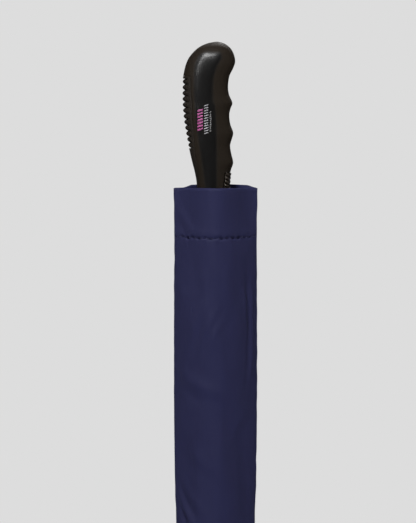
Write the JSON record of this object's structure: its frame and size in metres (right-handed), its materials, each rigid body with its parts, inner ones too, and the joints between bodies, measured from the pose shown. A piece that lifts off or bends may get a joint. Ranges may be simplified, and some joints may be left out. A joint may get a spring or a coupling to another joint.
{
  "type": "golf umbrella",
  "caption": "Straight automatic golf umbrella, closed, with a moulded pistol grip and a pull-off fabric sleeve.",
  "frame": {"origin": "on the shaft's axis in the middle of the grip, where a hand holds it", "axes": "+Z along the shaft towards the top of the handle, +X the finger side, -X the palm side"},
  "size_m": [0.068, 0.0542, 0.974],
  "materials": {
    "handle_plastic": "satin moulded black",
    "grip_rubber": "matt black rubber with cross ribs",
    "button_plastic": "satin black with V ribs",
    "shaft_fibreglass": "gloss black fibreglass tube",
    "rib_fibreglass": "satin black fibreglass rod",
    "frame_plastic": "satin black nylon",
    "steel": "zinc plated",
    "canopy_fabric": "plain woven navy polyester",
    "sleeve_fabric": "plain woven navy polyester",
    "tip_rubber": "matt black"
  },
  "bodies": {
    "root": {"handle_body": "handle_plastic", "back_grip_strip": "grip_rubber", "handle_pin": "steel", "shaft": "shaft_fibreglass", "crown_notch": "frame_plastic", "crown_wire": "steel", "crown_cap": "frame_plastic", "ferrule": "frame_plastic", "ferrule_tip": "tip_rubber", "button_spring": "steel", "opening_spring": "steel"},
    "sleeve": {"sleeve_front": "sleeve_fabric", "sleeve_back": "sleeve_fabric", "sleeve_hem": "sleeve_fabric", "sleeve_eyelet": "steel"},
    "button": {"push_button": "button_plastic", "latch_plate": "steel"},
    "runner": {"runner_body": "frame_plastic", "runner_wire": "steel"},
    "rib_1": {"rib_1": "rib_fibreglass"},
    "rib_end_1": {"rib_end_1": "rib_fibreglass"},
    "stretcher_1": {"stretcher_1": "rib_fibreglass"},
    "vent_gore_1": {"vent_gore_1": "canopy_fabric"},
    "gore_1": {"gore_1": "canopy_fabric"},
    "rib_2": {"rib_2": "rib_fibreglass"},
    "rib_end_2": {"rib_end_2": "rib_fibreglass"},
    "stretcher_2": {"stretcher_2": "rib_fibreglass"},
    "vent_gore_2": {"vent_gore_2": "canopy_fabric"},
    "gore_2": {"gore_2": "canopy_fabric"},
    "rib_3": {"rib_3": "rib_fibreglass"},
    "rib_end_3": {"rib_end_3": "rib_fibreglass"},
    "stretcher_3": {"stretcher_3": "rib_fibreglass"},
    "vent_gore_3": {"vent_gore_3": "canopy_fabric"},
    "gore_3": {"gore_3": "canopy_fabric"},
    "rib_4": {"rib_4": "rib_fibreglass"},
    "rib_end_4": {"rib_end_4": "rib_fibreglass"},
    "stretcher_4": {"stretcher_4": "rib_fibreglass"},
    "vent_gore_4": {"vent_gore_4": "canopy_fabric"},
    "gore_4": {"gore_4": "canopy_fabric"},
    "rib_5": {"rib_5": "rib_fibreglass"},
    "rib_end_5": {"rib_end_5": "rib_fibreglass"},
    "stretcher_5": {"stretcher_5": "rib_fibreglass"},
    "vent_gore_5": {"vent_gore_5": "canopy_fabric"},
    "gore_5": {"gore_5": "canopy_fabric"},
    "rib_6": {"rib_6": "rib_fibreglass"},
    "rib_end_6": {"rib_end_6": "rib_fibreglass"},
    "stretcher_6": {"stretcher_6": "rib_fibreglass"},
    "vent_gore_6": {"vent_gore_6": "canopy_fabric"},
    "gore_6": {"gore_6": "canopy_fabric"},
    "rib_7": {"rib_7": "rib_fibreglass"},
    "rib_end_7": {"rib_end_7": "rib_fibreglass"},
    "stretcher_7": {"stretcher_7": "rib_fibreglass"},
    "vent_gore_7": {"vent_gore_7": "canopy_fabric"},
    "gore_7": {"gore_7": "canopy_fabric"},
    "rib_8": {"rib_8": "rib_fibreglass"},
    "rib_end_8": {"rib_end_8": "rib_fibreglass"},
    "stretcher_8": {"stretcher_8": "rib_fibreglass"},
    "vent_gore_8": {"vent_gore_8": "canopy_fabric"},
    "gore_8": {"gore_8": "canopy_fabric"}
  },
  "joints": [
    {"name": "sleeve_pull", "type": "slide", "parent": "root", "child": "sleeve", "axis": [0, 0, -1], "range_m": [0, 0.86]},
    {"name": "runner_slide", "type": "slide", "parent": "root", "child": "runner", "axis": [0, 0, -1], "range_m": [0, 0.43237], "deforming": ["opening_spring", "vent_gore_1", "vent_gore_2", "vent_gore_3", "vent_gore_4", "vent_gore_5", "vent_gore_6", "vent_gore_7", "vent_gore_8", "gore_1", "gore_2", "gore_3", "gore_4", "gore_5", "gore_6", "gore_7", "gore_8", "sleeve_front", "sleeve_back", "sleeve_hem"]},
    {"name": "button_press", "type": "slide", "parent": "root", "child": "button", "axis": [-1, 0, 0], "range_m": [0, 0.002], "stiffness_N_per_m": 900, "deforming": ["button_spring"]},
    {"name": "rib_fold_1", "type": "hinge", "parent": "root", "child": "rib_1", "pos_m": [0.00831, 0.00344, -0.822], "axis": [-0.3827, 0.9239, 0], "range_deg": [0, 79.2]},
    {"name": "rib_flex_1", "type": "hinge", "parent": "rib_1", "child": "rib_end_1", "pos_m": [0.01109, 0.00459, -0.502], "axis": [-0.3827, 0.9239, 0], "range_deg": [-18.2, 0]},
    {"name": "stretcher_fold_1", "type": "hinge", "parent": "runner", "child": "stretcher_1", "pos_m": [0.01016, 0.00421, -0.13], "axis": [0.3827, -0.9239, 0], "range_deg": [0, 57.25]},
    {"name": "vent_spread_1", "type": "hinge", "parent": "rib_1", "child": "vent_gore_1", "pos_m": [0.00253, 0.00253, -0.8267], "axis": [-0.5625, -0.5625, -0.6059], "range_deg": [0, 56.55]},
    {"name": "gore_spread_1", "type": "hinge", "parent": "rib_end_1", "child": "gore_1", "pos_m": [0.0129, 0.0129, -0.85552], "axis": [-0.6211, -0.6211, -0.478], "range_deg": [0, 45]},
    {"name": "rib_fold_2", "type": "hinge", "parent": "root", "child": "rib_2", "pos_m": [0.00344, 0.00831, -0.822], "axis": [-0.9239, 0.3827, 0], "range_deg": [0, 79.2]},
    {"name": "rib_flex_2", "type": "hinge", "parent": "rib_2", "child": "rib_end_2", "pos_m": [0.00459, 0.01109, -0.502], "axis": [-0.9239, 0.3827, 0], "range_deg": [-18.2, 0]},
    {"name": "stretcher_fold_2", "type": "hinge", "parent": "runner", "child": "stretcher_2", "pos_m": [0.00421, 0.01016, -0.13], "axis": [0.9239, -0.3827, 0], "range_deg": [0, 57.25]},
    {"name": "vent_spread_2", "type": "hinge", "parent": "rib_2", "child": "vent_gore_2", "pos_m": [0, 0.00358, -0.8267], "axis": [0, -0.7956, -0.6059], "range_deg": [0, 56.55]},
    {"name": "gore_spread_2", "type": "hinge", "parent": "rib_end_2", "child": "gore_2", "pos_m": [0, 0.01824, -0.85552], "axis": [0, -0.8784, -0.478], "range_deg": [0, 45]},
    {"name": "rib_fold_3", "type": "hinge", "parent": "root", "child": "rib_3", "pos_m": [-0.00344, 0.00831, -0.822], "axis": [-0.9239, -0.3827, 0], "range_deg": [0, 79.2]},
    {"name": "rib_flex_3", "type": "hinge", "parent": "rib_3", "child": "rib_end_3", "pos_m": [-0.00459, 0.01109, -0.502], "axis": [-0.9239, -0.3827, 0], "range_deg": [-18.2, 0]},
    {"name": "stretcher_fold_3", "type": "hinge", "parent": "runner", "child": "stretcher_3", "pos_m": [-0.00421, 0.01016, -0.13], "axis": [0.9239, 0.3827, 0], "range_deg": [0, 57.25]},
    {"name": "vent_spread_3", "type": "hinge", "parent": "rib_3", "child": "vent_gore_3", "pos_m": [-0.00253, 0.00253, -0.8267], "axis": [0.5625, -0.5625, -0.6059], "range_deg": [0, 56.55]},
    {"name": "gore_spread_3", "type": "hinge", "parent": "rib_end_3", "child": "gore_3", "pos_m": [-0.0129, 0.0129, -0.85552], "axis": [0.6211, -0.6211, -0.478], "range_deg": [0, 45]},
    {"name": "rib_fold_4", "type": "hinge", "parent": "root", "child": "rib_4", "pos_m": [-0.00831, 0.00344, -0.822], "axis": [-0.3827, -0.9239, 0], "range_deg": [0, 79.2]},
    {"name": "rib_flex_4", "type": "hinge", "parent": "rib_4", "child": "rib_end_4", "pos_m": [-0.01109, 0.00459, -0.502], "axis": [-0.3827, -0.9239, 0], "range_deg": [-18.2, 0]},
    {"name": "stretcher_fold_4", "type": "hinge", "parent": "runner", "child": "stretcher_4", "pos_m": [-0.01016, 0.00421, -0.13], "axis": [0.3827, 0.9239, 0], "range_deg": [0, 57.25]},
    {"name": "vent_spread_4", "type": "hinge", "parent": "rib_4", "child": "vent_gore_4", "pos_m": [-0.00358, 0, -0.8267], "axis": [0.7956, 0, -0.6059], "range_deg": [0, 56.55]},
    {"name": "gore_spread_4", "type": "hinge", "parent": "rib_end_4", "child": "gore_4", "pos_m": [-0.01824, 0, -0.85552], "axis": [0.8784, 0, -0.478], "range_deg": [0, 45]},
    {"name": "rib_fold_5", "type": "hinge", "parent": "root", "child": "rib_5", "pos_m": [-0.00831, -0.00344, -0.822], "axis": [0.3827, -0.9239, 0], "range_deg": [0, 79.2]},
    {"name": "rib_flex_5", "type": "hinge", "parent": "rib_5", "child": "rib_end_5", "pos_m": [-0.01109, -0.00459, -0.502], "axis": [0.3827, -0.9239, 0], "range_deg": [-18.2, 0]},
    {"name": "stretcher_fold_5", "type": "hinge", "parent": "runner", "child": "stretcher_5", "pos_m": [-0.01016, -0.00421, -0.13], "axis": [-0.3827, 0.9239, 0], "range_deg": [0, 57.25]},
    {"name": "vent_spread_5", "type": "hinge", "parent": "rib_5", "child": "vent_gore_5", "pos_m": [-0.00253, -0.00253, -0.8267], "axis": [0.5625, 0.5625, -0.6059], "range_deg": [0, 56.55]},
    {"name": "gore_spread_5", "type": "hinge", "parent": "rib_end_5", "child": "gore_5", "pos_m": [-0.0129, -0.0129, -0.85552], "axis": [0.6211, 0.6211, -0.478], "range_deg": [0, 45]},
    {"name": "rib_fold_6", "type": "hinge", "parent": "root", "child": "rib_6", "pos_m": [-0.00344, -0.00831, -0.822], "axis": [0.9239, -0.3827, 0], "range_deg": [0, 79.2]},
    {"name": "rib_flex_6", "type": "hinge", "parent": "rib_6", "child": "rib_end_6", "pos_m": [-0.00459, -0.01109, -0.502], "axis": [0.9239, -0.3827, 0], "range_deg": [-18.2, 0]},
    {"name": "stretcher_fold_6", "type": "hinge", "parent": "runner", "child": "stretcher_6", "pos_m": [-0.00421, -0.01016, -0.13], "axis": [-0.9239, 0.3827, 0], "range_deg": [0, 57.25]},
    {"name": "vent_spread_6", "type": "hinge", "parent": "rib_6", "child": "vent_gore_6", "pos_m": [0, -0.00358, -0.8267], "axis": [0, 0.7956, -0.6059], "range_deg": [0, 56.55]},
    {"name": "gore_spread_6", "type": "hinge", "parent": "rib_end_6", "child": "gore_6", "pos_m": [0, -0.01824, -0.85552], "axis": [0, 0.8784, -0.478], "range_deg": [0, 45]},
    {"name": "rib_fold_7", "type": "hinge", "parent": "root", "child": "rib_7", "pos_m": [0.00344, -0.00831, -0.822], "axis": [0.9239, 0.3827, 0], "range_deg": [0, 79.2]},
    {"name": "rib_flex_7", "type": "hinge", "parent": "rib_7", "child": "rib_end_7", "pos_m": [0.00459, -0.01109, -0.502], "axis": [0.9239, 0.3827, 0], "range_deg": [-18.2, 0]},
    {"name": "stretcher_fold_7", "type": "hinge", "parent": "runner", "child": "stretcher_7", "pos_m": [0.00421, -0.01016, -0.13], "axis": [-0.9239, -0.3827, 0], "range_deg": [0, 57.25]},
    {"name": "vent_spread_7", "type": "hinge", "parent": "rib_7", "child": "vent_gore_7", "pos_m": [0.00253, -0.00253, -0.8267], "axis": [-0.5625, 0.5625, -0.6059], "range_deg": [0, 56.55]},
    {"name": "gore_spread_7", "type": "hinge", "parent": "rib_end_7", "child": "gore_7", "pos_m": [0.0129, -0.0129, -0.85552], "axis": [-0.6211, 0.6211, -0.478], "range_deg": [0, 45]},
    {"name": "rib_fold_8", "type": "hinge", "parent": "root", "child": "rib_8", "pos_m": [0.00831, -0.00344, -0.822], "axis": [0.3827, 0.9239, 0], "range_deg": [0, 79.2]},
    {"name": "rib_flex_8", "type": "hinge", "parent": "rib_8", "child": "rib_end_8", "pos_m": [0.01109, -0.00459, -0.502], "axis": [0.3827, 0.9239, 0], "range_deg": [-18.2, 0]},
    {"name": "stretcher_fold_8", "type": "hinge", "parent": "runner", "child": "stretcher_8", "pos_m": [0.01016, -0.00421, -0.13], "axis": [-0.3827, -0.9239, 0], "range_deg": [0, 57.25]},
    {"name": "vent_spread_8", "type": "hinge", "parent": "rib_8", "child": "vent_gore_8", "pos_m": [0.00358, 0, -0.8267], "axis": [-0.7956, 0, -0.6059], "range_deg": [0, 56.55]},
    {"name": "gore_spread_8", "type": "hinge", "parent": "rib_end_8", "child": "gore_8", "pos_m": [0.01824, 0, -0.85552], "axis": [-0.8784, 0, -0.478], "range_deg": [0, 45]}
  ],
  "couplings": [
    {"joint": "rib_fold_1", "follows": "runner_slide", "rad_per_m": 3.189},
    {"joint": "rib_flex_1", "follows": "runner_slide", "rad_per_m": -0.7266},
    {"joint": "stretcher_fold_1", "follows": "runner_slide", "rad_per_m": 2.3028},
    {"joint": "vent_spread_1", "follows": "runner_slide", "rad_per_m": 2.2748},
    {"joint": "gore_spread_1", "follows": "runner_slide", "rad_per_m": 1.8083},
    {"joint": "rib_fold_2", "follows": "runner_slide", "rad_per_m": 3.189},
    {"joint": "rib_flex_2", "follows": "runner_slide", "rad_per_m": -0.7266},
    {"joint": "stretcher_fold_2", "follows": "runner_slide", "rad_per_m": 2.3028},
    {"joint": "vent_spread_2", "follows": "runner_slide", "rad_per_m": 2.2748},
    {"joint": "gore_spread_2", "follows": "runner_slide", "rad_per_m": 1.8083},
    {"joint": "rib_fold_3", "follows": "runner_slide", "rad_per_m": 3.189},
    {"joint": "rib_flex_3", "follows": "runner_slide", "rad_per_m": -0.7266},
    {"joint": "stretcher_fold_3", "follows": "runner_slide", "rad_per_m": 2.3028},
    {"joint": "vent_spread_3", "follows": "runner_slide", "rad_per_m": 2.2748},
    {"joint": "gore_spread_3", "follows": "runner_slide", "rad_per_m": 1.8083},
    {"joint": "rib_fold_4", "follows": "runner_slide", "rad_per_m": 3.189},
    {"joint": "rib_flex_4", "follows": "runner_slide", "rad_per_m": -0.7266},
    {"joint": "stretcher_fold_4", "follows": "runner_slide", "rad_per_m": 2.3028},
    {"joint": "vent_spread_4", "follows": "runner_slide", "rad_per_m": 2.2748},
    {"joint": "gore_spread_4", "follows": "runner_slide", "rad_per_m": 1.8083},
    {"joint": "rib_fold_5", "follows": "runner_slide", "rad_per_m": 3.189},
    {"joint": "rib_flex_5", "follows": "runner_slide", "rad_per_m": -0.7266},
    {"joint": "stretcher_fold_5", "follows": "runner_slide", "rad_per_m": 2.3028},
    {"joint": "vent_spread_5", "follows": "runner_slide", "rad_per_m": 2.2748},
    {"joint": "gore_spread_5", "follows": "runner_slide", "rad_per_m": 1.8083},
    {"joint": "rib_fold_6", "follows": "runner_slide", "rad_per_m": 3.189},
    {"joint": "rib_flex_6", "follows": "runner_slide", "rad_per_m": -0.7266},
    {"joint": "stretcher_fold_6", "follows": "runner_slide", "rad_per_m": 2.3028},
    {"joint": "vent_spread_6", "follows": "runner_slide", "rad_per_m": 2.2748},
    {"joint": "gore_spread_6", "follows": "runner_slide", "rad_per_m": 1.8083},
    {"joint": "rib_fold_7", "follows": "runner_slide", "rad_per_m": 3.189},
    {"joint": "rib_flex_7", "follows": "runner_slide", "rad_per_m": -0.7266},
    {"joint": "stretcher_fold_7", "follows": "runner_slide", "rad_per_m": 2.3028},
    {"joint": "vent_spread_7", "follows": "runner_slide", "rad_per_m": 2.2748},
    {"joint": "gore_spread_7", "follows": "runner_slide", "rad_per_m": 1.8083},
    {"joint": "rib_fold_8", "follows": "runner_slide", "rad_per_m": 3.189},
    {"joint": "rib_flex_8", "follows": "runner_slide", "rad_per_m": -0.7266},
    {"joint": "stretcher_fold_8", "follows": "runner_slide", "rad_per_m": 2.3028},
    {"joint": "vent_spread_8", "follows": "runner_slide", "rad_per_m": 2.2748},
    {"joint": "gore_spread_8", "follows": "runner_slide", "rad_per_m": 1.8083}
  ]
}
